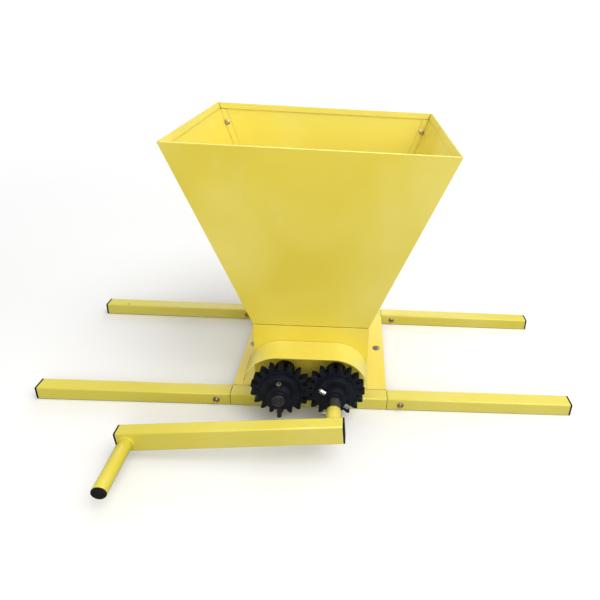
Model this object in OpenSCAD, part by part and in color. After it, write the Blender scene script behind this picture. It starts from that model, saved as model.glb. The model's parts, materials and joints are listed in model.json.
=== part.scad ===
// Hand-cranked two-roller grape crusher.
// +X is to the right, +Y to the rear, +Z up. The crank is on the front.
// The origin is on the ground, under the middle of the overall length and depth.

/* [Frame] */
// Overall length over the plastic caps of the legs
overall_len = 960; // [800:10:1200]
// Length of the frame tubes between the leg joints
frame_len = 280; // [270:5:320]
// Depth of the frame over the front and rear tubes
frame_depth = 285; // [270:5:320]
// Outside size of the square tube
tube_size = 25; // [25:1:30]
// Wall of the tubes
tube_wall = 2; // [1.5:0.5:2.5]

/* [Body] */
// Width of the crushing box
body_w = 200; // [196:2:210]
// Height of the top edge of the crushing box
body_top = 158; // [150:1:180]
// Thickness of the front and rear bearing plates
plate_t = 3; // [2:0.5:4]
// Thickness of the folded side sheets
sheet_t = 2; // [1.5:0.5:2.5]
// Diameter of the mounting hole in each side flange
flange_hole_d = 16; // [8:1:16]

/* [Hopper] */
// Width of the hopper mouth
mouth_w = 428; // [360:4:500]
// Depth of the hopper mouth
mouth_d = 313; // [290:1:360]
// Height of the hopper mouth
mouth_top = 484; // [420:2:540]
// Thickness of the hopper sheet
hopper_t = 1.5; // [1:0.5:2]

/* [Drive] */
// Distance between the two shafts
shaft_spacing = 92; // [92:1:96]
// Height of the shafts
shaft_z = 66; // [64:1:72]
// Diameter of the shafts
shaft_d = 22; // [18:1:22]
// Teeth on each gear
gear_teeth = 18; // [18:2:24]
// Width of the toothed rim
gear_w = 14; // [10:1:18]
// Largest diameter of the ribbed rollers
roller_d = 86; // [80:1:88]
// Ribs on each roller
roller_ribs = 12; // [8:1:16]

/* [Guard] */
// Outside radius of the gear guard around the shafts
guard_r = 61; // [61:1:66]
// How far the guard stands out from the front plate
guard_depth = 46; // [43:1:54]
// Sideways offset of the guard
guard_shift = -5; // [-5:1:5]

/* [Crank] */
// Distance from the shaft to the grip
crank_reach = 314; // [250:2:360]
// Droop of the crank arm below level
crank_droop = 4.8; // [0:0.1:5]
// Height of the crank arm's tube
arm_h = 36; // [30:1:40]
// Depth of the crank arm's tube
arm_d = 20; // [20:1:25]
// Outside diameter of the crank hub
hub_d = 25; // [25:1:27]
// Outside diameter of the grip
grip_d = 22; // [20:1:25]
// Length of the grip with its plug
grip_len = 84; // [70:1:120]

/* [Hidden] */
$fn = 48;

yellow = [0.93, 0.80, 0.24];
black = [0.09, 0.10, 0.13];
steel = [0.62, 0.62, 0.60];
zinc = [0.66, 0.58, 0.44];

// Clearances: a loose fit, a fit between stacked sheets, and a running or press fit
loose_gap = 0.2;
sheet_gap = 0.1;
close_gap = 0.05;
// Depth by which two shapes of one piece run into each other
join = 0.01;

// Frame and legs
cap_t = 3;
cap_plug_len = 12;
leg_gap = 0.8;
tube_r = 2.5;
leg_end_x = overall_len / 2 - cap_t;
joint_x = frame_len / 2;
leg_start_x = joint_x + leg_gap;
tube_inner = tube_size - 2 * tube_wall;
spigot_size = tube_inner - loose_gap;
spigot_r = 1;
spigot_len = 120;
leg_bolt_x = joint_x + 25;
leg_bolt_d = 6;
leg_hole_d = leg_bolt_d + loose_gap;
leg_head_d = 12;
leg_head_h = 4;
nut_flats = 10;
nut_h = 5;
washer_t = 1.5;
leg_bolt_tail = tube_size / 2 + washer_t + nut_h + 2;
drain_hole_d = 4;
drain_hole_x = leg_end_x - 45;

// Crushing box
plate_y = frame_depth / 2 - tube_size;
plate_foot = 3;
flange_len = frame_depth - 2 * tube_size;
flange_lip = 12;
flange_hole_place = 0.625;
bush_sleeve_r = shaft_d / 2 + 3;
bush_flange_r = 18;
bush_front_len = 12;
bush_rear_len = 6;
bush_inside = 3;

// Hopper
seat_gap = 1.5;
seat_inset = 1.6;
hopper_low = body_top + seat_gap;
throat_d = 2 * plate_y;
skirt_len = 13;
skirt_gap = 0.3;
hem_h = 11;
hem_gap = 0.6;
corner_flange = 12;
front_lean = atan((mouth_d - throat_d) / 2 / (mouth_top - hopper_low));
side_lean = atan((mouth_w - body_w) / 2 / (mouth_top - hopper_low));
front_slope = (mouth_top - hopper_low) / cos(front_lean);
side_slope = (mouth_top - hopper_low) / cos(side_lean);
hopper_bolt_rows = [0.18, 0.52, 0.885];
hopper_bolt_in = 5.3;
hopper_bolt_d = 5;
hopper_hole_d = hopper_bolt_d + loose_gap;
hopper_head_d = 9;
hopper_head_h = 3;
hopper_nut_flats = 8;
hopper_nut_h = 4;
hopper_bolt_tail = 0.3;

// Drive, measured from the front face of the front plate towards the crank
shaft_x = shaft_spacing / 2;
gear_back = 42;
gear_front = gear_back + gear_w;
disc_front = gear_front + 9;
boss_front = disc_front + 10;
driven_end = boss_front + 6;
hub_start = boss_front + 23;
arm_back = hub_start + 29;
arm_front = arm_back + arm_d;
disc_r = 33;
boss_r = 20;
collar_r = 14.5;
collar_len = 2.5;
rear_hub_r = 15;
gear_pin_d = 8;
drive_pin_len = 60;
drive_pin_angle = 35;
driven_pin_len = 70;
driven_pin_drop = 7;
roller_half = plate_y - plate_t - bush_inside - 1;
roller_rib_r = 5;
roller_pin_d = 6;
shaft_tail = plate_y + bush_rear_len + 10;
clip_t = 2;
clip_r = 15;
clip_mouth = 8;
clip_groove_r = shaft_d / 2 - 1;
module_size = shaft_spacing / gear_teeth;
backlash = 0.35;
pressure = 20;
gear_play = 0.5;
guard_t = 2;
guard_foot = 3;
crank_pin_d = 6;
crank_pin_len = 31;
crank_pin_slide = -3.5;
crank_pin_angle = 8;
grip_wall = 2;
arm_overhang = 17;
arm_tail = crank_reach + 13.5;
arm_cap_t = 2.5;
plug_t = 2;

// Depth of the model: the grip's plug in front, the hopper mouth behind
front_reach = plate_y + arm_front + grip_len;
rear_reach = max(mouth_d / 2, frame_depth / 2 - tube_size / 2 + leg_bolt_tail);
mid_y = (front_reach - rear_reach) / 2;

// ---------- helpers ----------

// Everything is drawn about the middle of the frame, then moved so that the origin is
// under the middle of the whole model
module about_frame() {
    translate([0, mid_y, 0]) children();
}

// Rounded rectangle with true arcs at its corners
module round_rect(w, h, r) {
    square([w - 2 * r, h], center = true);
    square([w, h - 2 * r], center = true);
    for (sx = [-1, 1], sy = [-1, 1])
        translate([sx * (w / 2 - r), sy * (h / 2 - r)]) circle(r = r);
}

// Cross-section of a rectangular tube
module tube_section(w, h, wall) {
    difference() {
        round_rect(w, h, tube_r);
        round_rect(w - 2 * wall, h - 2 * wall, tube_r - wall + 0.5);
    }
}

// Bar along X from x0 to x1, its section drawn in Y and Z
module along_x(x0, x1) {
    translate([x0, 0, 0]) rotate([90, 0, 90]) linear_extrude(x1 - x0) children();
}

// Cylinder along Y from y0 to y1
module rod_y(r, y0, y1) {
    translate([0, y1, 0]) rotate([90, 0, 0]) cylinder(r = r, h = y1 - y0);
}

// Prism along Y from y0 to y1, its section drawn in X and Z
module along_y(y0, y1) {
    translate([0, y1, 0]) rotate([90, 0, 0]) linear_extrude(y1 - y0) children();
}

// Frame tube along X, on one side of the frame
module frame_tube(side) {
    translate([0, side * (frame_depth - tube_size) / 2, tube_size / 2])
        along_x(-joint_x, joint_x) tube_section(tube_size, tube_size, tube_wall);
}

// One leg: end is -1 for the left and 1 for the right, side is -1 front and 1 rear
module leg(end, side, drain = false) {
    y = side * (frame_depth - tube_size) / 2;
    difference() {
        translate([0, y, tube_size / 2])
            along_x(min(end * leg_start_x, end * leg_end_x), max(end * leg_start_x, end * leg_end_x))
                tube_section(tube_size, tube_size, tube_wall);
        translate([end * leg_bolt_x, y, tube_size / 2])
            rod_y(leg_hole_d / 2, -tube_size, tube_size);
        if (drain)
            translate([end * drain_hole_x, y - tube_size / 4, tube_size / 2])
                cylinder(d = drain_hole_d, h = tube_size);
    }
}

// Runs its children at each of the four leg bolts
module at_leg_bolts() {
    for (end = [-1, 1], side = [-1, 1])
        translate([end * leg_bolt_x, side * (frame_depth - tube_size) / 2, tube_size / 2]) children();
}

// Hexagon prism along Y
module hex_y(flats, y0, y1) {
    translate([0, y1, 0]) rotate([90, 0, 0]) cylinder(r = flats / 2 / cos(30), h = y1 - y0, $fn = 6);
}

// Dome of diameter d and height h, its flat face at y = 0 and its crown towards -Y
module dome_head(d, h) {
    r = (d * d / 4 + h * h) / (2 * h);
    intersection() {
        translate([0, r - h, 0]) sphere(r = r);
        rod_y(d / 2, -h, 0);
    }
}

// ---------- frame and legs ----------

module front_frame_tube() color(yellow) about_frame() frame_tube(-1);

module rear_frame_tube() color(yellow) about_frame() frame_tube(1);

module leg_spigots() color(steel) about_frame() difference() {
    for (end = [-1, 1], side = [-1, 1])
        translate([end * joint_x, side * (frame_depth - tube_size) / 2, tube_size / 2])
            along_x(-spigot_len / 2, spigot_len / 2)
                difference() {
                    round_rect(spigot_size, spigot_size, spigot_r);
                    square(spigot_size - 2 * tube_wall, center = true);
                }
    at_leg_bolts() rod_y(leg_hole_d / 2, -tube_size, tube_size);
}

module front_left_leg() color(yellow) about_frame() leg(-1, -1);

module front_right_leg() color(yellow) about_frame() leg(1, -1);

module rear_left_leg() color(yellow) about_frame() leg(-1, 1, drain = true);

module rear_right_leg() color(yellow) about_frame() leg(1, 1);

module leg_end_caps() color(black) about_frame()
    for (end = [-1, 1], side = [-1, 1])
        translate([end * leg_end_x, side * (frame_depth - tube_size) / 2, tube_size / 2])
            rotate([0, 0, end > 0 ? 0 : 180]) {
                along_x(0, cap_t) round_rect(tube_size, tube_size, tube_r);
                along_x(-cap_plug_len, 0) round_rect(spigot_size, spigot_size, spigot_r);
            }

module leg_bolts() color(zinc) about_frame() at_leg_bolts() {
    translate([0, -tube_size / 2, 0]) dome_head(leg_head_d, leg_head_h);
    rod_y(leg_bolt_d / 2, -tube_size / 2, leg_bolt_tail);
}

module leg_nuts() color(zinc) about_frame() at_leg_bolts() translate([0, tube_size / 2, 0])
    difference() {
        union() {
            rod_y(leg_head_d / 2, 0, washer_t);
            hex_y(nut_flats, washer_t, washer_t + nut_h);
        }
        rod_y(leg_bolt_d / 2, -1, washer_t + nut_h + 1);
    }

// ---------- crushing box ----------

// Plate that carries one end of both shafts, its outer face at y = -plate_y
module bearing_plate() {
    difference() {
        translate([-body_w / 2, -plate_y, plate_foot])
            cube([body_w, plate_t, body_top - plate_foot]);
        for (sx = [-1, 1])
            translate([sx * shaft_x, -plate_y, shaft_z])
                rod_y(bush_sleeve_r + close_gap, -1, plate_t + 1);
    }
}

module front_bearing_plate() color(yellow) about_frame() bearing_plate();

module rear_bearing_plate() color(yellow) about_frame() mirror([0, 1, 0]) bearing_plate();

// Side sheet: an upright wall folded out into a flange, with a lip turned down at its edge
module side_sheet() {
    wall_half = plate_y - plate_t;
    flange_w = joint_x - body_w / 2 + sheet_t;
    difference() {
        union() {
            translate([body_w / 2 - sheet_t, -wall_half, tube_size - sheet_t])
                cube([sheet_t, 2 * wall_half, body_top - tube_size + sheet_t]);
            translate([body_w / 2, -flange_len / 2, tube_size - sheet_t])
                cube([flange_w - sheet_t, flange_len, sheet_t]);
            translate([joint_x - sheet_t, -flange_len / 2, tube_size - flange_lip])
                cube([sheet_t, flange_len, flange_lip]);
        }
        translate([body_w / 2 + flange_hole_place * (joint_x - body_w / 2), 0, 0])
            cylinder(d = flange_hole_d, h = tube_size + 1);
    }
}

module left_side_sheet() color(yellow) about_frame() mirror([1, 0, 0]) side_sheet();

module right_side_sheet() color(yellow) about_frame() side_sheet();

// Half-stadium outline around the two shafts
module guard_outline(r) {
    for (sx = [-1, 1])
        translate([sx * shaft_x, 0]) circle(r = r, $fn = 96);
    square([shaft_spacing, 2 * r], center = true);
}

module gear_guard() color(yellow) about_frame()
    translate([guard_shift, -plate_y, shaft_z]) along_y(-guard_depth, 0) difference() {
        guard_outline(guard_r);
        guard_outline(guard_r - guard_t);
        translate([0, guard_foot - guard_r - 1]) square([4 * guard_r + 10, 2 * guard_r + 2], center = true);
    }

// Flanged bush in the plate at y = -plate_y, its flange outside
module bush(sx, flange_len) {
    translate([sx * shaft_x, -plate_y, shaft_z]) difference() {
        union() {
            rod_y(bush_flange_r, -flange_len, 0);
            rod_y(bush_sleeve_r, -1, plate_t + bush_inside);
        }
        rod_y(shaft_d / 2 + close_gap, -flange_len - 1, plate_t + bush_inside + 1);
    }
}

module front_bushes() color(black) about_frame()
    for (sx = [-1, 1]) bush(sx, bush_front_len);

module rear_bushes() color(black) about_frame() mirror([0, 1, 0])
    for (sx = [-1, 1]) bush(sx, bush_rear_len);

// ---------- hopper ----------

// Puts a panel that is drawn flat, up its own slope, onto the front of a box of this half depth
module on_slope(half, lean) {
    translate([0, -half, hopper_low]) rotate([90 + lean, 0, 0]) children();
}

// Flat four-sided panel, its outer face at z = 0
module panel(low_half, high_half, slope, z, t) {
    translate([0, 0, z - t]) linear_extrude(t)
        polygon([[-low_half, 0], [low_half, 0], [high_half, slope], [-high_half, slope]]);
}

// Strip folded in along the top edge
module hem(half_low, half_high, slope) {
    narrowing = (half_high - half_low) / slope;
    translate([0, 0, -2 * hopper_t]) linear_extrude(hopper_t + join) polygon([
        [-half_high + hem_h * narrowing, slope - hem_h], [half_high - hem_h * narrowing, slope - hem_h],
        [half_high, slope], [-half_high, slope]
    ]);
}

// Lip that rests on the top of the box, and the skirt that hangs inside it
module seat_and_skirt(half, half_len, wall) {
    skirt_y = -half + wall + skirt_gap;
    translate([-half_len, -half + seat_inset, body_top])
        cube([2 * half_len, skirt_y + hopper_t + half - seat_inset, hopper_t]);
    translate([-half_len, skirt_y, body_top - skirt_len])
        cube([2 * half_len, hopper_t, skirt_len + hopper_t]);
}

front_low_half = body_w / 2;
front_high_half = mouth_w / 2;
side_low_half = plate_y - hopper_t - loose_gap;
side_high_half = mouth_d / 2 - hopper_t - loose_gap;
front_skirt_half = body_w / 2 - sheet_t - skirt_gap - hopper_t - skirt_gap;
side_skirt_half = plate_y - plate_t - skirt_gap - sheet_gap;
// Where a bolt row stands along the rear corner, seen up the rear panel's slope
function bolt_up(row) = front_slope * row;
function bolt_across(row) =
    front_low_half + (front_high_half - front_low_half) * row - hopper_t - hopper_bolt_in;

module front_or_rear_panel(bolted) {
    difference() {
        union() {
            on_slope(plate_y, front_lean) {
                panel(front_low_half, front_high_half, front_slope, 0, hopper_t);
                hem(front_low_half - 2 * hopper_t - hem_gap, front_high_half - 2 * hopper_t - hem_gap,
                    front_slope);
            }
            seat_and_skirt(plate_y, front_skirt_half, plate_t);
        }
        if (bolted)
            on_slope(plate_y, front_lean)
                for (row = hopper_bolt_rows, sx = [-1, 1])
                    translate([sx * bolt_across(row), bolt_up(row), -2 * hopper_t])
                        cylinder(d = hopper_hole_d, h = 4 * hopper_t);
    }
}

module hopper_front_panel() color(yellow) about_frame() front_or_rear_panel(false);

module hopper_rear_panel() color(yellow) about_frame() mirror([0, 1, 0]) front_or_rear_panel(true);

// Flange of a side panel, lying on the inner face of the front or rear panel at the +X corner
module corner_strip() {
    slope_x = (front_high_half - front_low_half) / front_slope;
    low = 2;
    top = front_slope - hem_h - 1;
    outer = front_low_half - 1;
    inner = front_low_half - hopper_t - corner_flange;
    translate([0, 0, -2 * hopper_t - close_gap]) linear_extrude(hopper_t)
        polygon([[inner, low], [outer, low], [outer + slope_x * top, top], [inner + slope_x * top, top]]);
}

module right_panel() {
    difference() {
        union() {
            rotate([0, 0, 90]) {
                on_slope(body_w / 2, side_lean) {
                    panel(side_low_half, side_high_half, side_slope, 0, hopper_t);
                    hem(side_low_half - skirt_gap, side_high_half - skirt_gap, side_slope);
                }
                seat_and_skirt(body_w / 2, side_skirt_half, sheet_t);
            }
            for (side = [0, 1])
                mirror([0, side, 0]) on_slope(plate_y, front_lean) corner_strip();
        }
        mirror([0, 1, 0]) on_slope(plate_y, front_lean)
            for (row = hopper_bolt_rows)
                translate([bolt_across(row), bolt_up(row), -4 * hopper_t])
                    cylinder(d = hopper_hole_d, h = 6 * hopper_t);
    }
}

module hopper_right_panel() color(yellow) about_frame() right_panel();

module hopper_left_panel() color(yellow) about_frame() mirror([1, 0, 0]) right_panel();

// Runs its children at each hopper bolt, +Z pointing out through the rear panel
module at_hopper_bolts() {
    mirror([0, 1, 0]) on_slope(plate_y, front_lean)
        for (row = hopper_bolt_rows, sx = [-1, 1])
            translate([sx * bolt_across(row), bolt_up(row), 0]) children();
}

module hopper_bolts() color(zinc) about_frame() at_hopper_bolts() {
    translate([0, 0, -2 * hopper_t - sheet_gap]) {
        rotate([90, 0, 0]) dome_head(hopper_head_d, hopper_head_h);
        cylinder(d = hopper_bolt_d, h = 2 * hopper_t + hopper_nut_h + hopper_bolt_tail);
    }
}

module hopper_nuts() color(zinc) about_frame() at_hopper_bolts() difference() {
    cylinder(r = hopper_nut_flats / 2 / cos(30), h = hopper_nut_h, $fn = 6);
    translate([0, 0, -1]) cylinder(d = hopper_bolt_d, h = hopper_nut_h + 2);
}

// ---------- drive ----------

// Puts its children on a shaft: sx is 1 for the drive shaft and -1 for the driven shaft
module on_shaft(sx) {
    about_frame() translate([sx * shaft_x, 0, shaft_z]) children();
}

// Pin across a shaft in the X and Z plane, turned down by the angle from +X
module cross_pin(d, len, angle, y, slide = 0) {
    translate([0, y, 0]) rotate([0, angle, 0]) translate([slide, 0, 0]) rotate([0, 90, 0])
        cylinder(d = d, h = len, center = true);
}

// Shaft with its gear pin hole, roller pin holes and the groove for its rear clip
module shaft(front_y, pin_angle) {
    difference() {
        rod_y(shaft_d / 2, front_y, shaft_tail);
        cross_pin(gear_pin_d, shaft_d + 2, pin_angle, gear_pin_y);
        for (end = [-1, 1])
            cross_pin(roller_pin_d, shaft_d + 2, 90, end * roller_pin_y);
        difference() {
            rod_y(shaft_d, clip_y, clip_y + clip_t);
            rod_y(clip_groove_r, clip_y - 1, clip_y + clip_t + 1);
        }
    }
}

gear_pin_y = -plate_y - (disc_front + boss_front) / 2;
roller_pin_y = roller_half - 20;
clip_y = plate_y + bush_rear_len + 1;
crank_pin_y = -plate_y - hub_start - 6.5;

// Ribbed roller
module roller() {
    difference() {
        along_y(-roller_half, roller_half) difference() {
            union() {
                circle(d = roller_d - 2 * roller_rib_r, $fn = 96);
                for (i = [0 : roller_ribs - 1])
                    rotate(i * 360 / roller_ribs)
                        translate([roller_d / 2 - roller_rib_r, 0]) circle(r = roller_rib_r, $fn = 24);
            }
            circle(r = shaft_d / 2);
        }
        for (end = [-1, 1])
            cross_pin(roller_pin_d, roller_d, 90, end * roller_pin_y);
    }
}

// Pins that hold a roller on its shaft, flush with the roller's core
module roller_pins() {
    for (end = [-1, 1])
        cross_pin(roller_pin_d, roller_d - 3 * roller_rib_r, 90, end * roller_pin_y);
}

// Involute of an angle, in degrees
function involute(a) = tan(a) * 180 / PI - a;
// Half the angle that a tooth takes up at radius r, in degrees
function half_tooth(r) = 90 / gear_teeth - backlash / 2 / (shaft_spacing / 2) * 180 / PI
    + involute(pressure) - involute(acos(min(1, base_r / r)));
pitch_r = shaft_spacing / 2;
base_r = pitch_r * cos(pressure);
root_r = pitch_r - 1.25 * module_size;
tip_r = pitch_r + module_size;
flank_r = [root_r, for (i = [0 : 4]) base_r + (tip_r - base_r) * i / 4];

// Toothed outline; phase 0 points a tooth along +X
module gear_outline(phase) {
    polygon([
        for (i = [0 : gear_teeth - 1])
            let (a = (i + phase) * 360 / gear_teeth)
                for (s = [-1, 1], k = [0 : len(flank_r) - 1])
                    let (r = flank_r[s < 0 ? k : len(flank_r) - 1 - k])
                        r * [cos(a + s * half_tooth(r)), sin(a + s * half_tooth(r))]
    ]);
}

// Moulded gear: toothed rim, disc, boss for the cross pin with a collar, and a spacer hub behind
module gear(phase, pin_angle) {
    difference() {
        union() {
            along_y(-plate_y - gear_front, -plate_y - gear_back) gear_outline(phase);
            rod_y(disc_r, -plate_y - disc_front, -plate_y - gear_front);
            rod_y(boss_r, -plate_y - boss_front, -plate_y - disc_front);
            rod_y(collar_r, -plate_y - boss_front - collar_len, -plate_y - boss_front);
            rod_y(rear_hub_r, -plate_y - gear_back, -plate_y - bush_front_len - gear_play);
        }
        rod_y(shaft_d / 2, -plate_y - boss_front - collar_len - 1, 0);
        cross_pin(gear_pin_d, 2 * disc_r + 10, pin_angle, gear_pin_y);
    }
}

// Open ring that snaps into the groove behind the rear bush
module shaft_clip() {
    difference() {
        rod_y(clip_r, clip_y, clip_y + clip_t);
        rod_y(clip_groove_r, clip_y - 1, clip_y + clip_t + 1);
        translate([0, clip_y + clip_t / 2, clip_r]) cube([clip_mouth, clip_t + 2, 2 * clip_r], center = true);
    }
}

module drive_shaft() color(steel) on_shaft(1) difference() {
    shaft(-plate_y - arm_back + 1, drive_pin_angle);
    cross_pin(crank_pin_d, shaft_d + 2, crank_pin_angle, crank_pin_y);
}

module driven_shaft() color(steel) on_shaft(-1) shaft(-plate_y - driven_end, 90);

module drive_roller() color(black) on_shaft(1) roller();

module driven_roller() color(black) on_shaft(-1) roller();

module drive_roller_pins() color(steel) on_shaft(1) roller_pins();

module driven_roller_pins() color(steel) on_shaft(-1) roller_pins();

module drive_gear() color(black) on_shaft(1) gear(0, drive_pin_angle);

module driven_gear() color(black) on_shaft(-1) gear(0.5, 90);

// Hollow spring pin
module spring_pin(len, angle) {
    difference() {
        cross_pin(gear_pin_d, len, angle, gear_pin_y);
        cross_pin(gear_pin_d / 2, len + 2, angle, gear_pin_y);
    }
}

module drive_gear_pin() color(steel) on_shaft(1) spring_pin(drive_pin_len, drive_pin_angle);

module driven_gear_pin() color(steel) on_shaft(-1)
    translate([0, 0, -driven_pin_drop]) spring_pin(driven_pin_len, 90);

module drive_shaft_clip() color(steel) on_shaft(1) shaft_clip();

module driven_shaft_clip() color(steel) on_shaft(-1) shaft_clip();

// ---------- crank ----------

// Turns its children with the crank arm, which points to -X and droops
module on_crank() {
    on_shaft(1) translate([0, -plate_y, 0]) rotate([0, -crank_droop, 0]) children();
}

module crank_hub() color(yellow) on_shaft(1) difference() {
    rod_y(hub_d / 2, -plate_y - arm_back, -plate_y - hub_start);
    rod_y(shaft_d / 2, -plate_y - arm_back - 1, -plate_y - hub_start + 1);
    cross_pin(crank_pin_d, hub_d + 10, crank_pin_angle, crank_pin_y);
}

module crank_pin() color(steel) on_shaft(1)
    cross_pin(crank_pin_d, crank_pin_len, crank_pin_angle, crank_pin_y, crank_pin_slide);

module crank_arm() color(yellow) on_crank() translate([0, -arm_back - arm_d / 2, 0])
    along_x(-arm_tail, arm_overhang) tube_section(arm_d, arm_h, tube_wall);

module crank_arm_caps() color(black) on_crank() translate([0, -arm_back - arm_d / 2, 0])
    for (end = [[arm_overhang, 0], [-arm_tail, 180]])
        translate([end[0], 0, 0]) rotate([0, 0, end[1]]) {
            along_x(0, arm_cap_t) round_rect(arm_d, arm_h, tube_r);
            along_x(-cap_plug_len, 0)
                round_rect(arm_d - 2 * tube_wall - loose_gap, arm_h - 2 * tube_wall - loose_gap, spigot_r);
        }

module crank_grip() color(yellow) on_crank() translate([-crank_reach, 0, 0]) difference() {
    rod_y(grip_d / 2, -arm_front - grip_len + plug_t, -arm_front);
    rod_y(grip_d / 2 - grip_wall, -arm_front - grip_len, -arm_front - 1);
}

module grip_plug() color(black) on_crank() translate([-crank_reach, 0, 0]) {
    rod_y(grip_d / 2, -arm_front - grip_len, -arm_front - grip_len + plug_t);
    rod_y(grip_d / 2 - grip_wall - sheet_gap, -arm_front - grip_len + plug_t,
        -arm_front - grip_len + plug_t + cap_plug_len);
}

front_frame_tube();
rear_frame_tube();
leg_spigots();
front_left_leg();
front_right_leg();
rear_left_leg();
rear_right_leg();
leg_end_caps();
leg_bolts();
leg_nuts();
front_bearing_plate();
rear_bearing_plate();
left_side_sheet();
right_side_sheet();
gear_guard();
front_bushes();
rear_bushes();
hopper_front_panel();
hopper_rear_panel();
hopper_left_panel();
hopper_right_panel();
hopper_bolts();
hopper_nuts();
drive_shaft();
drive_roller();
drive_roller_pins();
drive_gear();
drive_gear_pin();
drive_shaft_clip();
driven_shaft();
driven_roller();
driven_roller_pins();
driven_gear();
driven_gear_pin();
driven_shaft_clip();
crank_hub();
crank_pin();
crank_arm();
crank_arm_caps();
crank_grip();
grip_plug();
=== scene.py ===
import bpy
import bmesh
import json
import math
from mathutils import Matrix, Vector, noise


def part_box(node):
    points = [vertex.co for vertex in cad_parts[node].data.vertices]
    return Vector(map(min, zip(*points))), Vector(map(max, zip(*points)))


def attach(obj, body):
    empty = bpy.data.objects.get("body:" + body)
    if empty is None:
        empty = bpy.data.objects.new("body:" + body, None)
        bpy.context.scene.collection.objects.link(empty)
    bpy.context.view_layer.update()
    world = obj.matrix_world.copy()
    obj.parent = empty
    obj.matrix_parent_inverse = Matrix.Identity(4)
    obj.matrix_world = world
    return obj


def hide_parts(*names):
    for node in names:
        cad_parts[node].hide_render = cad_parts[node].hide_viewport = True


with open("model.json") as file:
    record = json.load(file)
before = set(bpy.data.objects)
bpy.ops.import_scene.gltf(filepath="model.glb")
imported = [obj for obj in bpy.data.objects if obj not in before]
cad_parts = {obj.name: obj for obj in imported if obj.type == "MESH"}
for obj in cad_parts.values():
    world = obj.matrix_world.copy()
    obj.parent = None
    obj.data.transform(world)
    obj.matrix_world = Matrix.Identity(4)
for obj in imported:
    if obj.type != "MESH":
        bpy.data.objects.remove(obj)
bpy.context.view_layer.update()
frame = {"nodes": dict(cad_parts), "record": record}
nodes = frame["nodes"]
MM = 0.001

# ---------- camera ----------

# The camera stands in front of the crank, slightly right of the middle and high up
CAMERA_AT = Vector((0.05624, -0.71325, 0.66575))
CAMERA_AZIMUTH = math.radians(-2.276)
CAMERA_ELEVATION = math.radians(22.651)
CAMERA_ROLL = math.radians(3.560)
# Lens and sensor in millimetres. The shift moves the machine to the right and up in the picture.
LENS = 28.836
SENSOR = 36.0
LENS_SHIFT = (-0.1113333, -0.1458333)


def make_camera():
    """Camera aimed by its azimuth, elevation and roll."""
    a, e, r = CAMERA_AZIMUTH, CAMERA_ELEVATION, CAMERA_ROLL
    back = Vector((math.sin(a) * math.cos(e), -math.cos(a) * math.cos(e), math.sin(e)))
    right = Vector((math.cos(a), math.sin(a), 0))
    up = back.cross(right)
    c, s = math.cos(r), math.sin(r)
    right, up = c * right + s * up, c * up - s * right
    data = bpy.data.cameras.new("camera")
    data.sensor_width = SENSOR
    data.lens = LENS
    data.shift_x, data.shift_y = LENS_SHIFT
    cam = bpy.data.objects.new("camera", data)
    bpy.context.scene.collection.objects.link(cam)
    turn = Matrix((right, up, back)).transposed().to_4x4()
    cam.matrix_world = Matrix.Translation(CAMERA_AT) @ turn
    bpy.context.scene.camera = cam


make_camera()

# ---------- materials ----------


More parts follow.
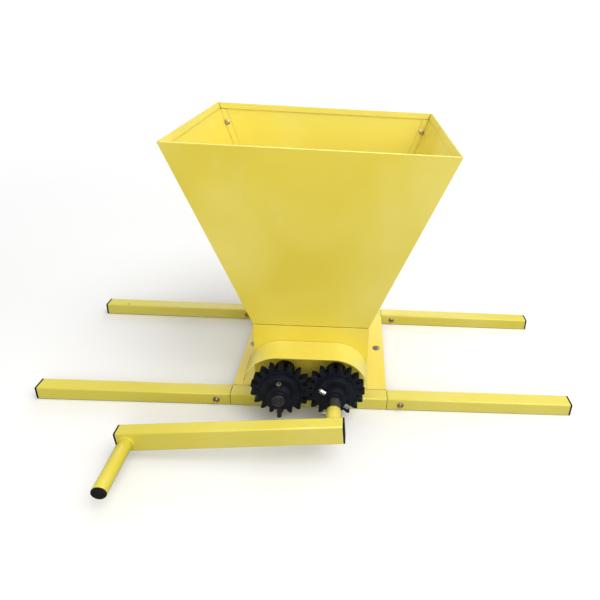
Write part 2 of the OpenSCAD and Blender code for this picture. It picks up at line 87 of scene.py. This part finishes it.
class Nodes:
    """The shader nodes of one material, and short ways to add and link them."""

    def __init__(self, name):
        self.mat = bpy.data.materials.new(name)
        self.mat.use_nodes = True
        self.tree = self.mat.node_tree
        self.shader = self.tree.nodes["Principled BSDF"]
        self.coords = self.tree.nodes.new("ShaderNodeTexCoord").outputs["Object"]

    def add(self, kind, **values):
        node = self.tree.nodes.new(kind)
        for key, value in values.items():
            if hasattr(node, key):
                setattr(node, key, value)
            else:
                node.inputs[key.replace("_", " ")].default_value = value
        return node

    def link(self, a, b):
        self.tree.links.new(a, b)

    def scaled(self, scale):
        """Object coordinates, in metres, stretched along each axis."""
        node = self.add("ShaderNodeMapping")
        node.inputs["Scale"].default_value = scale
        self.link(self.coords, node.inputs["Vector"])
        return node.outputs["Vector"]

    def noise(self, scale, detail=3.0, rough=0.5, stretch=(1, 1, 1)):
        """Smooth noise from 0 to 1, with about scale lumps in a metre."""
        node = self.add("ShaderNodeTexNoise", Scale=scale, Detail=detail, Roughness=rough)
        self.link(self.scaled(stretch), node.inputs["Vector"])
        return node.outputs["Fac"]

    def ramp(self, value, low, high, to_low, to_high):
        """value carried from the range low to high over to the range to_low to to_high, and clamped."""
        node = self.add("ShaderNodeMapRange")
        node.inputs["From Min"].default_value = low
        node.inputs["From Max"].default_value = high
        node.inputs["To Min"].default_value = to_low
        node.inputs["To Max"].default_value = to_high
        self.link(value, node.inputs["Value"])
        return node.outputs["Result"]

    def math(self, how, a, b):
        node = self.add("ShaderNodeMath", operation=how)
        for socket, value in zip(node.inputs, (a, b)):
            if isinstance(value, (int, float)):
                socket.default_value = value
            else:
                self.link(value, socket)
        return node.outputs[0]

    def mix(self, share, a, b):
        """Colour a where share is 0 and colour b where it is 1."""
        node = self.add("ShaderNodeMix", data_type="RGBA")
        self.link(share, node.inputs[0])
        for socket, value in ((node.inputs[6], a), (node.inputs[7], b)):
            if isinstance(value, tuple):
                socket.default_value = (*value, 1)
            else:
                self.link(value, socket)
        return node.outputs[2]

    def edges(self, radius):
        """1 where the surface bends within this radius, 0 on flat areas."""
        bevel = self.add("ShaderNodeBevel", samples=6)
        bevel.inputs["Radius"].default_value = radius
        normal = self.add("ShaderNodeNewGeometry").outputs["Normal"]
        dot = self.add("ShaderNodeVectorMath", operation="DOT_PRODUCT")
        self.link(bevel.outputs["Normal"], dot.inputs[0])
        self.link(normal, dot.inputs[1])
        return self.ramp(dot.outputs["Value"], 0.98, 0.75, 0, 1)

    def crevices(self, reach, start=0.50, full=0.22):
        """1 where the surroundings shut out more than full, 0 where they leave more than start open."""
        near = self.add("ShaderNodeAmbientOcclusion", samples=6)
        near.inputs["Distance"].default_value = reach
        return self.ramp(near.outputs["AO"], start, full, 0, 1)

    def facing(self, axis, low, high, both_ways=True):
        """1 on faces that look along the axis, or against it too, and 0 on the others."""
        dot = self.add("ShaderNodeVectorMath", operation="DOT_PRODUCT")
        self.link(self.tree.nodes["Texture Coordinate"].outputs["Normal"], dot.inputs[0])
        dot.inputs[1].default_value = axis
        value = dot.outputs["Value"]
        if both_ways:
            value = self.math("ABSOLUTE", value, 0)
        return self.ramp(value, low, high, 0, 1)

    def bump(self, height, strength, distance, after=None):
        node = self.add("ShaderNodeBump", Strength=strength, Distance=distance)
        self.link(height, node.inputs["Height"])
        if after is not None:
            self.link(after, node.inputs["Normal"])
        return node.outputs["Normal"]

    def finish(self, color=None, rough=None, normal=None, **values):
        """Links what varies, sets what is the same all over, and gives back the material."""
        for name, socket in (("Base Color", color), ("Roughness", rough), ("Normal", normal)):
            if socket is not None:
                self.link(socket, self.shader.inputs[name])
        for name, value in values.items():
            self.shader.inputs[name.replace("_", " ")].default_value = value
        return self.mat


def shaded(color, factor):
    return tuple(c * factor for c in color)


def powder_coat(name, deep, bright, painted_sheen, painted_sheen_scale=3.2, corners=(0.005, 0.50, 0.22), upward_sheen=0):
    """Semi-gloss yellow powder coat between two tones, with a pale film of painted sheen and with painted
    shade in its corners.

    painted_sheen is the strength of the painted sheen, corners is what crevices() takes for the painted
    shade, and upward_sheen is the share of painted pale sheen on the faces that look up.
    """
    m = Nodes(name)
    patches = m.ramp(m.noise(5, 4), 0.35, 0.65, 0, 1)
    color = m.mix(patches, deep, bright)
    # painted sheen: a pale film in patches that stands in for the whitish reflection on the gloss paint
    sheen_film = m.ramp(m.noise(painted_sheen_scale, 3, 0.45), 0.46, 0.60, 0, painted_sheen)
    color = m.mix(sheen_film, color, (0.90, 0.80, 0.24))
    specks = m.ramp(m.noise(420, 2), 0.70, 0.76, 0, 0.30)
    color = m.mix(specks, color, (0.58, 0.47, 0.06))
    smears = m.noise(14, 5, 0.6, (1, 1, 0.35))
    dust = m.ramp(smears, 0.56, 0.74, 0, 0.20)
    color = m.mix(dust, color, (0.84, 0.77, 0.34))
    # painted sheen: faces that look up are made paler, standing in for the light that they reflect
    if upward_sheen:
        upward = m.facing((0, 0, 1), 0.02, 0.12, both_ways=False)
        color = m.mix(m.math("MULTIPLY", upward, upward_sheen), color, (0.86, 0.84, 0.22))
    rubbed = m.math("MULTIPLY", m.edges(0.0016), m.ramp(m.noise(160, 4), 0.50, 0.64, 0.1, 0.8))
    color = m.mix(rubbed, color, (0.95, 0.87, 0.36))
    # painted shade: dark brown in corners, seams and gaps, where the surroundings shut out the light
    crevice_shade = m.math("MULTIPLY", m.crevices(*corners), m.ramp(m.noise(70, 4), 0.3, 0.6, 0.55, 1.0))
    color = m.mix(crevice_shade, color, (0.10, 0.07, 0.012))
    rough = m.ramp(m.noise(30, 5, 0.6), 0.3, 0.7, 0.30, 0.46)
    peel = m.bump(m.noise(520, 2, 0.4), 0.10, 0.0004)
    waves = m.bump(m.noise(11, 2), 0.10, 0.004, peel)
    return m.finish(color, rough, waves, Coat_Weight=0.35, Coat_Roughness=0.16)


def moulded(name, dark, light, low, high, gloss, grain=700):
    """Moulded plastic between two tones, with its roughness between low and high and pale worn edges."""
    m = Nodes(name)
    color = m.mix(m.ramp(m.noise(60, 5, 0.6), 0.35, 0.7, 0, 1), dark, light)
    worn = m.math("MULTIPLY", m.edges(0.0010), m.ramp(m.noise(240, 4), 0.42, 0.62, 0.15, 0.8))
    color = m.mix(worn, color, tuple(c * 2.6 + 0.012 for c in light))
    dust = m.ramp(m.noise(35, 6, 0.7), 0.56, 0.78, 0, 0.10)
    color = m.mix(dust, color, (0.20, 0.17, 0.09))
    rough = m.ramp(m.noise(45, 5, 0.65), 0.3, 0.7, low, high)
    normal = m.bump(m.noise(grain, 3), 0.22, 0.0003)
    return m.finish(color, rough, normal, Specular_IOR_Level=gloss)


def turned_steel(name, dark, light, rust, low, high):
    """Steel bar along Y with fine turning rings."""
    m = Nodes(name)
    rings = m.noise(1, 4, 0.7, (60, 2200, 60))
    color = m.mix(m.ramp(rings, 0.3, 0.7, 0, 1), dark, light)
    stained = m.ramp(m.noise(90, 5, 0.65), 0.50, 0.72, 0, rust)
    color = m.mix(stained, color, (0.13, 0.07, 0.035))
    rough = m.ramp(m.noise(130, 4), 0.3, 0.7, low, high)
    normal = m.bump(rings, 0.35, 0.0002)
    return m.finish(color, rough, normal, Metallic=1.0)


def pin_steel(name, axis, side, end):
    """Drawn pin: side and end are the brightness of its round side and of its cut ends, painted to stand in
    for how the light falls: painted shade or light on the side and a painted highlight on the ends.
    """
    m = Nodes(name)
    grey = (1.0, 0.99, 0.97)
    drawn = m.ramp(m.noise(220, 4, 0.6), 0.3, 0.7, 0, 1)
    # painted light: the side is darker or brighter according to how the light falls on this pin
    color = m.mix(drawn, shaded(grey, side * 0.7), shaded(grey, side))
    color = m.mix(m.ramp(m.noise(120, 5), 0.60, 0.75, 0, 0.5), color, (0.10, 0.06, 0.03))
    # painted highlight: the cut ends, which look along the axis, are made bright
    color = m.mix(m.facing(axis, 0.6, 0.8), color, shaded(grey, end))
    rough = m.ramp(m.noise(300, 3), 0.3, 0.7, 0.22, 0.40)
    return m.finish(color, rough, m.bump(m.noise(900, 3), 0.15, 0.0002), Metallic=1.0)


def zinc(name, deep, bright, stains):
    """Yellowed zinc plate between two tones, with brown stains."""
    m = Nodes(name)
    color = m.mix(m.ramp(m.noise(300, 4), 0.35, 0.65, 0, 1), deep, bright)
    color = m.mix(m.ramp(m.noise(150, 5), 0.52, 0.68, 0, stains), color, (0.12, 0.05, 0.022))
    rough = m.ramp(m.noise(240, 3), 0.3, 0.7, 0.26, 0.5)
    return m.finish(color, rough, m.bump(m.noise(900, 2), 0.15, 0.0002), Metallic=1.0)


def tilted(degrees):
    """Direction of a cross pin that is turned down by this angle from +X."""
    a = math.radians(degrees)
    return (math.cos(a), 0, -math.sin(a))


# The two tones of the sheet's paint, which the hopper shares a little darker
DEEP, BRIGHT = (0.800, 0.640, 0.052), (0.850, 0.690, 0.066)
SHEET_PAINT = powder_coat("sheet_powder_coat", DEEP, BRIGHT, painted_sheen=0.22)
# hopper: a stronger painted sheen, painted pale sheen on the faces that look up, and painted shade reaching
# further into its corners
HOPPER_PAINT = powder_coat("hopper_powder_coat", shaded(DEEP, 0.96), shaded(BRIGHT, 0.97), painted_sheen=0.50,
                           painted_sheen_scale=2.6, corners=(0.006, 0.74, 0.20), upward_sheen=0.22)
# gear guard: paler tones and a strong painted sheen, standing in for the pale sheen on its top
GUARD_PAINT = powder_coat("guard_powder_coat", (0.815, 0.675, 0.095), (0.87, 0.745, 0.145), painted_sheen=0.45,
                          painted_sheen_scale=7)
TUBE_PAINT = powder_coat("tube_powder_coat", (0.715, 0.612, 0.066), (0.770, 0.660, 0.085), painted_sheen=0.25)
# The look of each material slot
LOOKS = {
    "yellow_paint": SHEET_PAINT,
    "black_plastic": moulded("black_cap_plastic", (0.0045, 0.0045, 0.005), (0.009, 0.009, 0.010),
                             0.5, 0.7, gloss=0.14),
    "bush_plastic": moulded("bush_plastic", (0.0035, 0.0035, 0.005), (0.008, 0.008, 0.010),
                            0.4, 0.6, gloss=0.16),
    "gear_plastic": moulded("gear_nylon", (0.0035, 0.0045, 0.0085), (0.0080, 0.0105, 0.0190),
                            0.38, 0.58, gloss=0.20),
    "roller_plastic": moulded("roller_nylon", (0.020, 0.020, 0.021), (0.036, 0.036, 0.037),
                              0.45, 0.65, gloss=0.25),
    "zinc_fasteners": zinc("yellow_zinc", (0.34, 0.22, 0.12), (0.50, 0.40, 0.30), stains=0.75),
    "shaft_steel": turned_steel("turned_shaft", (0.030, 0.032, 0.036), (0.15, 0.152, 0.158),
                                rust=0.22, low=0.36, high=0.58),
    # upright pin: painted shade on its side and a painted highlight on its ends
    "pin_steel": pin_steel("upright_pin", (0, 0, 1), side=0.07, end=0.85),
}
# The nodes that don't look like the rest of their slot
SPECIAL = {
    # painted light: the drive gear pin and crank pin are lit copies with bright sides, and these pins and
    # the clips get painted highlights on their ends
    "drive_gear_pin": pin_steel("drive_gear_pin_steel", tilted(35), side=0.55, end=0.85),
    "crank_pin": pin_steel("crank_pin_steel", tilted(8), side=0.50, end=0.85),
    "drive_shaft_clip": pin_steel("clip_steel", (0, 1, 0), side=0.35, end=0.45),
    # painted light: the hopper's screws and nuts are a paler copy of the zinc, standing in for the brighter
    # light inside the hopper
    "hopper_bolts": zinc("pale_zinc", (0.60, 0.47, 0.34), (0.78, 0.70, 0.60), stains=0.45),
    "gear_guard": GUARD_PAINT,
}
SPECIAL["driven_shaft_clip"] = SPECIAL["drive_shaft_clip"]
SPECIAL["hopper_nuts"] = SPECIAL["hopper_bolts"]
for name in nodes:
    if name.startswith("hopper_") and name.endswith("panel"):
        SPECIAL[name] = HOPPER_PAINT
    elif name.endswith("leg") or "frame_tube" in name or name in ("crank_arm", "crank_grip", "crank_hub"):
        SPECIAL[name] = TUBE_PAINT


def apply_looks():
    """Gives every CAD node its own look, or the look of its slot."""
    slot_of = {s["node"]: s["material_slot"] for s in frame["record"]["subparts"]}
    for name, obj in nodes.items():
        look = SPECIAL.get(name, LOOKS[slot_of[name]])
        if not obj.data.materials:
            obj.data.materials.append(look)
        for i in range(len(obj.data.materials)):
            obj.data.materials[i] = look


apply_looks()

# ---------- softened edges on the carried nodes ----------

# Words in the names of the nodes of each kind
SHEET_WORDS = ("plate", "sheet", "panel", "guard")
SMALL_METAL_WORDS = ("shaft", "pin", "pins", "clip", "bolts", "nuts")
# How wide the edges of each kind are rounded
SHEET_EDGE = 0.45 * MM
SMALL_METAL_EDGE = 0.3 * MM
CAP_EDGE = 0.9 * MM
GEAR_EDGE = 0.6 * MM
TUBE_EDGE = 0.5 * MM
# Points of a mesh nearer than this are one point
MERGE = 0.005 * MM


def soften(obj, width, segments=2, flat=False):
    """Rounds the edges of a node. flat is for sheets, whose faces are first joined and stay level."""
    weld = obj.modifiers.new("weld", "WELD")
    weld.merge_threshold = MERGE
    if flat:
        planar = obj.modifiers.new("planar", "DECIMATE")
        planar.decimate_type = "DISSOLVE"
        planar.angle_limit = math.radians(0.5)
    bevel = obj.modifiers.new("edges", "BEVEL")
    bevel.width = width
    bevel.segments = segments
    bevel.limit_method = "ANGLE"
    bevel.angle_limit = math.radians(32)
    bevel.use_clamp_overlap = True
    if flat:
        even = obj.modifiers.new("even", "WEIGHTED_NORMAL")
        even.weight = 100
        even.keep_sharp = True
    else:
        bevel.harden_normals = True


for name, obj in nodes.items():
    if any(word in name for word in SHEET_WORDS):
        soften(obj, SHEET_EDGE, flat=True)
    elif name.split("_")[-1] in SMALL_METAL_WORDS:
        soften(obj, SMALL_METAL_EDGE)
    elif "caps" in name:
        soften(obj, CAP_EDGE, segments=3)
    elif "gear" in name:
        soften(obj, GEAR_EDGE)
    else:
        soften(obj, TUBE_EDGE)

# ---------- made pieces: welds, screws, nuts and the plug of the grip ----------

# Points in a turned ring
ROUND = 40
# The middle of the crushing box, from front to rear
MID_Y = sum(c.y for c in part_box("front_bearing_plate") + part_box("rear_bearing_plate")) / 4


def new_object(name, mesh, look, body):
    """A smooth piece that rides on a body."""
    mesh.materials.append(look)
    for face in mesh.polygons:
        face.use_smooth = True
    obj = bpy.data.objects.new(name, mesh)
    bpy.context.scene.collection.objects.link(obj)
    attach(obj, body)
    return obj


def skin_rings(rings, closed=False):
    """A closed mesh over rings of points, all with the same number of points."""
    verts = [p for ring in rings for p in ring]
    n = len(rings[0])
    faces = []
    last = len(rings) if closed else len(rings) - 1
    for i in range(last):
        a, b = i * n, (i + 1) % len(rings) * n
        faces += [(a + k, a + (k + 1) % n, b + (k + 1) % n, b + k) for k in range(n)]
    if not closed:
        faces.append(tuple(range(n))[::-1])
        faces.append(tuple((len(rings) - 1) * n + k for k in range(n)))
    mesh = bpy.data.meshes.new("rings")
    mesh.from_pydata([tuple(v) for v in verts], [], faces)
    made = bmesh.new()
    made.from_mesh(mesh)
    bmesh.ops.recalc_face_normals(made, faces=made.faces)
    made.to_mesh(mesh)
    made.free()
    return mesh


# Radius of each kind of bead
RING_BEAD = 1.7 * MM
FLANGE_BEAD = 1.1 * MM
CORNER_BEAD = 1.0 * MM
FOOT_BEAD = 1.5 * MM
# Points in a ring of a bead, the distance between its rings and the distance between its ripples
BEAD_SIDES = 10
BEAD_STEP = 0.7 * MM
RIPPLE = 2.4 * MM


def spaced(path, step):
    """Points at an even step along a path of straight pieces, with the direction at each."""
    points = []
    for a, b in zip(path, path[1:]):
        count = max(1, round((b - a).length / step))
        points += [a.lerp(b, k / count) for k in range(count)]
    points.append(path[-1])
    return points


def weld_bead(name, path, outward, radius, body, closed=False):
    """A rippled bead along a path. outward is a function giving, at a point, the way it bulges."""
    points = spaced(path, BEAD_STEP)
    if closed:
        points = points[:-1]
    rings = []
    for i, p in enumerate(points):
        before = points[i - 1] if (i or closed) else p
        after = points[(i + 1) % len(points)] if (i + 1 < len(points) or closed) else p
        along = (after - before).normalized()
        out = outward(p)
        out = (out - out.dot(along) * along).normalized()
        side = along.cross(out)
        wave = abs(math.sin(i * BEAD_STEP * math.pi / RIPPLE))
        wobble = noise.noise(p * 160)
        size = radius * (0.80 + 0.20 * wave + 0.16 * wobble)
        if not closed:
            size *= min(1, 0.35 + 0.65 * min(i, len(points) - 1 - i) / 4)
        rings.append([p + size * (math.cos(t) * side + math.sin(t) * out)
                      for t in (2 * math.pi * k / BEAD_SIDES for k in range(BEAD_SIDES))])
    return new_object(name, skin_rings(rings, closed), SHEET_PAINT, body)


def circle_path(centre, radius, count=64):
    """A closed circle about an axis along Y."""
    return [centre + Vector((radius * math.cos(t), 0, radius * math.sin(t)))
            for t in (2 * math.pi * k / count for k in range(count + 1))]


def away_from(centre, lean):
    """Bulges away from an axis along Y through centre, and along lean."""
    def out(p):
        return Vector((p.x - centre.x, 0, p.z - centre.z)).normalized() + lean
    return out


def signed(side):
    """n for a negative side and 1 for a positive one, for use in a name."""
    return "n" if side < 0 else "1"


def add_ring_weld(name, node, end, lean):
    """Bead around the round end of a node of the crank, where it meets the arm."""
    low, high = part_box(node)
    at = Vector(((low.x + high.x) / 2, (low, high)[end].y, (low.z + high.z) / 2))
    weld_bead(name, circle_path(at, (high.x - low.x) / 2), away_from(at, lean), RING_BEAD, "drive",
              closed=True)


def add_box_welds():
    """Beads along the plates of the crushing box: on the flanges, up the corners and at the foot."""
    plate_low, plate_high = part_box("front_bearing_plate")
    tube_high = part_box("front_frame_tube")[1]
    top = tube_high.z
    for end in (-1, 1):
        for side in (-1, 1):
            y = MID_Y + side * (MID_Y - plate_low.y)
            near = Vector((end * (plate_high.x + 2 * MM), y, top))
            far = Vector((end * (tube_high.x - 3 * MM), y, top))
            weld_bead(f"flange_weld_{signed(end)}_{signed(side)}", [near, far],
                      lambda p: Vector((0, 0, 1)), FLANGE_BEAD, "frame")
            inner = y - side * (plate_high.y - plate_low.y)
            low = Vector((end * plate_high.x, inner, top + 1 * MM))
            high = Vector((end * plate_high.x, inner, plate_high.z - 3 * MM))
            weld_bead(f"corner_weld_{signed(end)}_{signed(side)}", [low, high],
                      lambda p, end=end: Vector((end, 0, 0)), CORNER_BEAD, "frame")
    for side in (-1, 1):
        y = MID_Y + side * (MID_Y - plate_low.y)
        for end in (-1, 1):
            outer = Vector((end * (plate_high.x - 3 * MM), y, top))
            inner = Vector((end * (plate_high.x - 30 * MM), y, top))
            weld_bead(f"foot_weld_{signed(end)}_{signed(side)}", [outer, inner],
                      lambda p, side=side: Vector((0, side, 1)), FOOT_BEAD, "frame")


def hexagon_reach(angle, flats):
    """Distance from the middle of a hexagon to its side, at an angle."""
    sixth = math.pi / 3
    turned = (angle % sixth) - sixth / 2
    return flats / 2 / math.cos(turned)


def placed(rings, at, out):
    """Rings drawn about +Z, moved so that +Z points along out from at."""
    turn = out.to_track_quat("Z", "Y").to_matrix()
    return [[turn @ Vector(p) + at for p in ring] for ring in rings]


def lathe(profile):
    """Rings about Z from a profile of radius and height."""
    return [[(r * math.cos(t), r * math.sin(t), z) for t in (2 * math.pi * k / ROUND for k in range(ROUND))]
            for r, z in profile]


def hexagon(flats, cone, z):
    """Ring on a hexagon, cut off outside the radius cone."""
    ring = []
    for k in range(ROUND):
        t = 2 * math.pi * k / ROUND
        r = min(hexagon_reach(t, flats), cone)
        ring.append((r * math.cos(t), r * math.sin(t), z))
    return ring


def thread(radius, low, high, pitch):
    """Profile of a threaded end from the height low up to high."""
    turns = int((high - low) / pitch)
    return [(radius - (0.13 * pitch if k % 2 else 0.62 * pitch), low + k * pitch / 2)
            for k in range(2 * turns)]


def screw(name, at, out, look, size, length, threaded):
    """Domed screw with a hexagon socket and a washer. at is where its washer meets the sheet."""
    head_r, washer_r, shank_r = size["head_r"], size["washer_r"], size["shank_r"]
    washer_h = 1.0 * MM
    dome = size["head_h"] - washer_h
    socket = head_r * 0.95
    profile = [(shank_r * 0.7, -length)]
    profile += thread(shank_r, -length + 0.3 * MM, -length + threaded, 0.9 * MM)
    profile += [(shank_r, -length + threaded), (shank_r, -0.02 * MM), (washer_r * 0.97, 0),
                (washer_r, 0.2 * MM), (washer_r, washer_h - 0.2 * MM), (washer_r * 0.96, washer_h),
                (head_r * 0.97, washer_h), (head_r, washer_h + 0.3 * MM)]
    profile += [(head_r * math.cos(t), washer_h + 0.3 * MM + (dome - 0.3 * MM) * math.sin(t))
                for t in (math.pi / 2 * k / 8 for k in range(1, 6))]
    top = washer_h + dome * 0.93
    rings = lathe(profile)
    for scale, z in ((1.06, top), (1.0, top - 0.25 * MM), (0.97, top - dome * 0.6)):
        rings.append(hexagon(socket * scale, head_r, z))
    return new_object(name, skin_rings(placed(rings, at, out)), look, "frame")


def hex_nut(name, at, out, look, size, top):
    """Chamfered hexagon nut on a washer or a thin collar, with a chamfered bore."""
    flats, bore_r, washer_r = size["flats"], size["shank_r"], size["nut_washer_r"]
    washer_h = size["nut_washer_h"] or NUT_COLLAR
    corner = flats / 2 / math.cos(math.pi / 6)
    rings = lathe([(bore_r, 0), (washer_r, 0), (washer_r, washer_h * 0.8), (washer_r * 0.97, washer_h)])
    rings.append(hexagon(flats, corner * 0.95, washer_h))
    rings.append(hexagon(flats, corner, washer_h + 0.3 * MM))
    rings.append(hexagon(flats, corner, top - 0.6 * MM))
    rings.append(hexagon(flats, corner * 0.97, top - 0.25 * MM))
    rings.append(hexagon(flats * 0.985, corner * 0.90, top))
    rings += lathe([(bore_r + 0.4 * MM, top), (bore_r, top - 0.4 * MM)])
    return new_object(name, skin_rings(placed(rings, at, out), closed=True), look, "frame")


def solids_of(node):
    """The points of each separate solid in a node, in a fixed order."""
    made = bmesh.new()
    made.from_mesh(nodes[node].data)
    bmesh.ops.remove_doubles(made, verts=made.verts, dist=2 * MERGE)
    todo, groups = set(made.verts), []
    for start in made.verts:
        if start not in todo:
            continue
        todo.discard(start)
        group, stack = [], [start]
        while stack:
            vert = stack.pop()
            group.append(vert.co.copy())
            for edge in vert.link_edges:
                other = edge.other_vert(vert)
                if other in todo:
                    todo.discard(other)
                    stack.append(other)
        groups.append(group)
    made.free()
    return sorted(groups, key=lambda g: tuple(round(min(p[i] for p in g), 4) for i in (0, 2, 1)))


def along(points, out):
    """Lowest and highest place of the points along out, and the middle of the highest ones."""
    places = [p.dot(out) for p in points]
    low, high = min(places), max(places)
    end = [p for p, place in zip(points, places) if place > high - 0.05 * MM]
    return low, high, sum(end, Vector()) / len(end)


def hopper_lean():
    """Angle by which the rear panel of the hopper leans out."""
    low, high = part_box("rear_bearing_plate")[1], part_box("hopper_rear_panel")[1]
    return math.atan((high.y - low.y) / (high.z - low.z))


# Sizes in millimetres of the screws and nuts in each row of fasteners. threaded is the length of the
# thread, and plain the length that has none: each row gives one of them.
ROWS = {
    "leg": {"head_h": 4.0, "head_r": 5.2, "washer_r": 6.0, "shank_r": 3.0, "threaded": 8.0,
            "flats": 10.0, "nut_washer_h": 1.5, "nut_washer_r": 6.0},
    "hopper": {"head_h": 3.0, "head_r": 4.2, "washer_r": 4.8, "shank_r": 2.5, "plain": 3.2,
               "flats": 8.0, "nut_washer_h": 0, "nut_washer_r": 3.84},
}
# Height of the thin collar under a nut that has no washer
NUT_COLLAR = 0.3 * MM


def add_row(row, out):
    """Screws and nuts in place of the plain ones of a row. out is the way that the nuts face."""
    size = {key: value * MM for key, value in ROWS[row].items()}
    look = SPECIAL.get(f"{row}_bolts", LOOKS["zinc_fasteners"])
    screws, nuts = [], []
    for i, points in enumerate(solids_of(f"{row}_bolts")):
        low, high, end = along(points, out)
        length = high - low - size["head_h"]
        threaded = size.get("threaded") or length - size["plain"]
        screws.append(screw(f"{row}_screw_{i + 1}", end - out * length, -out, look, size, length, threaded))
    for i, points in enumerate(solids_of(f"{row}_nuts")):
        low, high, end = along(points, out)
        nuts.append(hex_nut(f"{row}_nut_{i + 1}", end - out * (high - low), out, look, size, high - low))
    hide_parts(f"{row}_bolts")
    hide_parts(f"{row}_nuts")


def add_fasteners():
    lean = hopper_lean()
    add_row("leg", Vector((0, 1, 0)))
    add_row("hopper", Vector((0, math.cos(lean), -math.sin(lean))))


# How thick the plug is in front of the grip, and the grip's wall with the play of the plug in it
PLUG_FACE = 2 * MM
GRIP_WALL = 2.1 * MM


def add_grip_plug():
    """Round plug with a soft rim and a shallow dish in its face."""
    low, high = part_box("grip_plug")
    r = (high.x - low.x) / 2
    at = Vector(((low.x + high.x) / 2, high.y, (low.z + high.z) / 2))
    depth = high.y - low.y
    face, inner = depth - PLUG_FACE, r - GRIP_WALL
    stem = [(inner, 0), (inner, face), (r - 0.2 * MM, face), (r, face + 0.2 * MM)]
    rim = [(r, depth - 0.9 * MM), (r - 0.25 * MM, depth - 0.4 * MM), (r - 0.8 * MM, depth - 0.05 * MM),
           (r - 1.6 * MM, depth)]
    dish = [(r - 2.6 * MM, depth - 0.35 * MM), (r * 0.5, depth - 0.55 * MM), (r * 0.12, depth - 0.6 * MM)]
    rings = placed(lathe(stem + rim + dish), at, Vector((0, -1, 0)))
    plug = new_object("grip_plug_moulding", skin_rings(rings), LOOKS["black_plastic"], "drive")
    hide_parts("grip_plug")


add_ring_weld("hub_weld", "crank_hub", 0, Vector((0, 1, 0)))
add_ring_weld("grip_weld", "crank_grip", 1, Vector((0, -1, 0)))
add_box_welds()
add_fasteners()
add_grip_plug()

# ---------- floor and light ----------

FLOOR_SIZE = 60.0
# What the camera sees beyond the floor, and the light that the studio gives from all round
BACKDROP = 1.03
STUDIO = 0.53
# The floor melts into the backdrop between these distances, for the camera and for its light
FADE_SEEN = (0.9, 2.4)
FADE_LIGHT = (1.2, 4.5)


def make_floor():
    """White to the camera, and grey to the light that it throws back under the object."""
    mesh = bpy.data.meshes.new("floor")
    s = FLOOR_SIZE / 2
    mesh.from_pydata([(-s, -s, 0), (s, -s, 0), (s, s, 0), (-s, s, 0)], [], [(0, 1, 2, 3)])
    floor = bpy.data.objects.new("floor", mesh)
    bpy.context.scene.collection.objects.link(floor)
    m = Nodes("floor_white")
    away = m.add("ShaderNodeVectorMath", operation="LENGTH")
    m.link(m.coords, away.inputs[0])
    seen = m.add("ShaderNodeLightPath").outputs["Is Camera Ray"]
    fade_light = m.ramp(away.outputs["Value"], *FADE_LIGHT, 0, 1)
    fade_seen = m.math("MULTIPLY", seen, m.ramp(away.outputs["Value"], *FADE_SEEN, 0, 1))
    fade = m.math("MAXIMUM", fade_light, fade_seen)
    near = m.mix(m.noise(3, 2), (0.92, 0.92, 0.92), (0.94, 0.94, 0.94))
    near = m.mix(seen, (0.40, 0.40, 0.39), near)
    m.link(m.math("MULTIPLY", fade, BACKDROP), m.shader.inputs["Emission Strength"])
    floor.data.materials.append(m.finish(m.mix(fade, near, (0, 0, 0)), Roughness=0.9,
                                         Specular_IOR_Level=0.0, Emission_Color=(1, 1, 1, 1)))


def area_light(name, at, look_at, size, power, tint=(1, 1, 1)):
    """Round soft box that the camera doesn't see."""
    data = bpy.data.lights.new(name, "AREA")
    data.shape = "DISK"
    data.size = size
    data.energy = power
    data.color = tint
    lamp = bpy.data.objects.new(name, data)
    bpy.context.scene.collection.objects.link(lamp)
    lamp.location = at
    aim = Vector(look_at) - Vector(at)
    lamp.rotation_mode = "QUATERNION"
    lamp.rotation_quaternion = aim.to_track_quat("-Z", "Y")
    lamp.visible_camera = False


def sun_light(name, azimuth, elevation, strength, softness):
    """Light from far off. All three angles are in degrees, and softness is the angle it fills."""
    data = bpy.data.lights.new(name, "SUN")
    data.energy = strength
    data.angle = math.radians(softness)
    lamp = bpy.data.objects.new(name, data)
    bpy.context.scene.collection.objects.link(lamp)
    a, e = math.radians(azimuth), math.radians(elevation)
    towards = Vector((math.sin(a) * math.cos(e), -math.cos(a) * math.cos(e), math.sin(e)))
    lamp.rotation_mode = "QUATERNION"
    lamp.rotation_quaternion = (-towards).to_track_quat("-Z", "Y")


def make_world():
    """Plain white to the camera, and a soft light from all round to everything else."""
    world = bpy.data.worlds.new("studio")
    world.use_nodes = True
    tree = world.node_tree
    light = tree.nodes["Background"]
    light.inputs["Strength"].default_value = STUDIO
    light.inputs["Color"].default_value = (1, 1, 1, 1)
    seen = tree.nodes.new("ShaderNodeBackground")
    seen.inputs["Strength"].default_value = BACKDROP
    path = tree.nodes.new("ShaderNodeLightPath")
    mix = tree.nodes.new("ShaderNodeMixShader")
    tree.links.new(path.outputs["Is Camera Ray"], mix.inputs[0])
    tree.links.new(light.outputs[0], mix.inputs[1])
    tree.links.new(seen.outputs[0], mix.inputs[2])
    tree.links.new(mix.outputs[0], tree.nodes["World Output"].inputs["Surface"])
    seen.inputs["Color"].default_value = (1, 1, 1, 1)
    bpy.context.scene.world = world


make_floor()
make_world()
sun_light("key", 55, 60, 0.90, 34)
area_light("front", (0.35, -2.3, 1.55), (0, 0, 0.25), 1.6, 25, (1, 0.995, 0.985))
area_light("over_the_mouth", (0, 0.1, 1.05), (0, 0.1, 0.3), 0.35, 1.2)
area_light("side", (1.25, -0.25, 1.25), (0.2, 0, 0.1), 1.2, 6, (1, 0.99, 0.97))
area_light("behind", (-0.2, 2.9, 1.5), (0, 0, 0.3), 2.6, 22)
# Shows the colours of the paint as they are
bpy.context.scene.view_settings.view_transform = "Standard"
